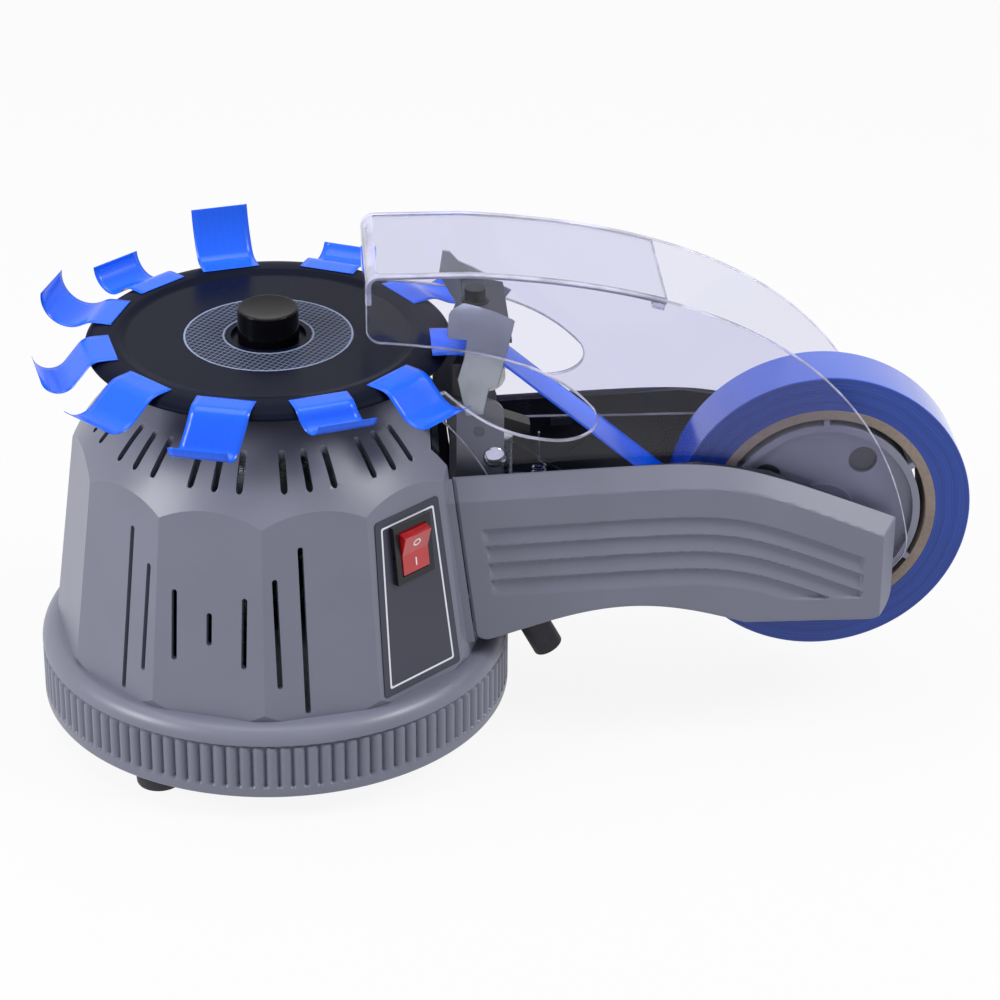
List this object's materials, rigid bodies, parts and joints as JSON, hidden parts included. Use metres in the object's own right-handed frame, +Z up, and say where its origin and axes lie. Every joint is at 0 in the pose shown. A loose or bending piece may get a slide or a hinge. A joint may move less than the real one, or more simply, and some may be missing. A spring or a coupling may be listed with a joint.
{
  "type": "electric tape dispenser",
  "caption": "Counter-top electric tape dispenser: a motor-driven disc carries cut strips of tape, fed and cut by a head on a forked arm that holds the roll under a clear hinged guard.",
  "frame": {"origin": "on the disc's axis at the level of the table", "axes": "+Z up along the disc's axis, +X along the forked arm, -Y the side with the switch"},
  "size_m": [0.3401, 0.1732, 0.1846],
  "materials": {
    "grey_plastic": "satin",
    "black_plastic": "satin",
    "black_gloss": "gloss",
    "rubber": "matte",
    "steel": "satin",
    "zinc_sheet": "satin",
    "black_steel": "satin",
    "chrome": "polished",
    "clear_plastic": "clear gloss",
    "red_plastic": "gloss",
    "label_film": "satin print",
    "disc_print": "gloss print",
    "blue_tape": "gloss film",
    "cardboard": "matte",
    "white_plastic": "satin",
    "silicone": "matte",
    "board": "satin",
    "motor_metal": "satin",
    "coil_wrap": "satin"
  },
  "bodies": {
    "base": {"base_ring": "grey_plastic", "base_plate": "zinc_sheet", "base_screws": "steel", "feet": "rubber", "foot_screws": "steel", "body_shell": "grey_plastic", "shell_screws": "steel", "switch_label": "label_film", "switch_housing": "black_gloss", "near_arm_cover": "grey_plastic", "far_arm_cover": "grey_plastic", "near_arm_wall": "black_plastic", "far_arm_wall": "black_plastic", "arm_floor": "black_plastic", "cover_screws": "steel", "floor_screws": "steel", "cord_bushing": "rubber", "deck_plate": "zinc_sheet", "deck_posts": "steel", "deck_screws": "steel", "bearing_housing": "steel", "bearing_screws": "steel", "gear_motor": "motor_metal", "motor_bracket": "zinc_sheet", "motor_screws": "steel", "circuit_board": "board", "board_posts": "steel", "head_bracket": "zinc_sheet", "near_guide_plate": "zinc_sheet", "far_guide_plate": "zinc_sheet", "bridge_plate": "black_steel", "bridge_screw": "black_steel", "head_screws": "chrome", "roller_pin": "steel", "lever_pin": "steel", "return_spring": "steel", "solenoid": "coil_wrap", "roll_axle": "steel", "tape_run": "blue_tape", "guard_pins": "steel"},
    "carousel": {"spindle": "steel", "spindle_nut": "steel", "drive_gear": "white_plastic", "carousel_disc": "black_gloss", "disc_mark": "disc_print", "disc_knob": "black_gloss", "tape_strips": "blue_tape"},
    "pinion": {"motor_pinion": "steel"},
    "rocker_button": {"rocker": "red_plastic"},
    "roller": {"tape_roller": "silicone"},
    "roll": {"roll_hub": "grey_plastic", "tape_core": "cardboard", "tape_roll": "blue_tape"},
    "cutter": {"cutter_lever": "black_steel", "cutter_blade": "steel"},
    "plunger_rod": {"plunger": "steel"},
    "guard": {"guard_near_side": "clear_plastic", "guard_far_side": "clear_plastic", "guard_roof": "clear_plastic"}
  },
  "joints": [
    {"name": "disc_turn", "type": "hinge", "parent": "base", "child": "carousel", "pos_m": [0, 0, 0], "axis": [0, 0, 1], "continuous": true, "deforming": ["tape_strips"]},
    {"name": "pinion_turn", "type": "hinge", "parent": "base", "child": "pinion", "pos_m": [-0.04015, 0, 0], "axis": [0, 0, 1], "continuous": true},
    {"name": "rocker_tip", "type": "hinge", "parent": "base", "child": "rocker_button", "pos_m": [0.04832, -0.05404, 0.09119], "axis": [-0.7455, -0.6665, 0], "range_deg": [0, 20]},
    {"name": "roll_turn", "type": "hinge", "parent": "base", "child": "roll", "pos_m": [0.199, 0, 0.085], "axis": [0, -1, 0], "continuous": true},
    {"name": "roller_turn", "type": "hinge", "parent": "base", "child": "roller", "pos_m": [0.0774, 0, 0.1434], "axis": [0, -1, 0], "continuous": true},
    {"name": "cutter_swing", "type": "hinge", "parent": "base", "child": "cutter", "pos_m": [0.074, 0, 0.122], "axis": [0, -1, 0], "range_deg": [0, 6], "stiffness_Nm_per_rad": 0.3, "springref_deg": -8.59, "deforming": ["return_spring"]},
    {"name": "plunger_rise", "type": "slide", "parent": "base", "child": "plunger_rod", "axis": [0, 0, 1], "range_m": [0, 0.0016]},
    {"name": "guard_lift", "type": "hinge", "parent": "base", "child": "guard", "pos_m": [0.2205, 0, 0.073], "axis": [0, 1, 0], "range_deg": [0, 70]}
  ],
  "couplings": [
    {"joint": "pinion_turn", "follows": "disc_turn", "ratio": -3},
    {"joint": "roller_turn", "follows": "roll_turn", "ratio": 8.3846},
    {"joint": "plunger_rise", "follows": "cutter_swing", "m_per_rad": 0.012}
  ]
}
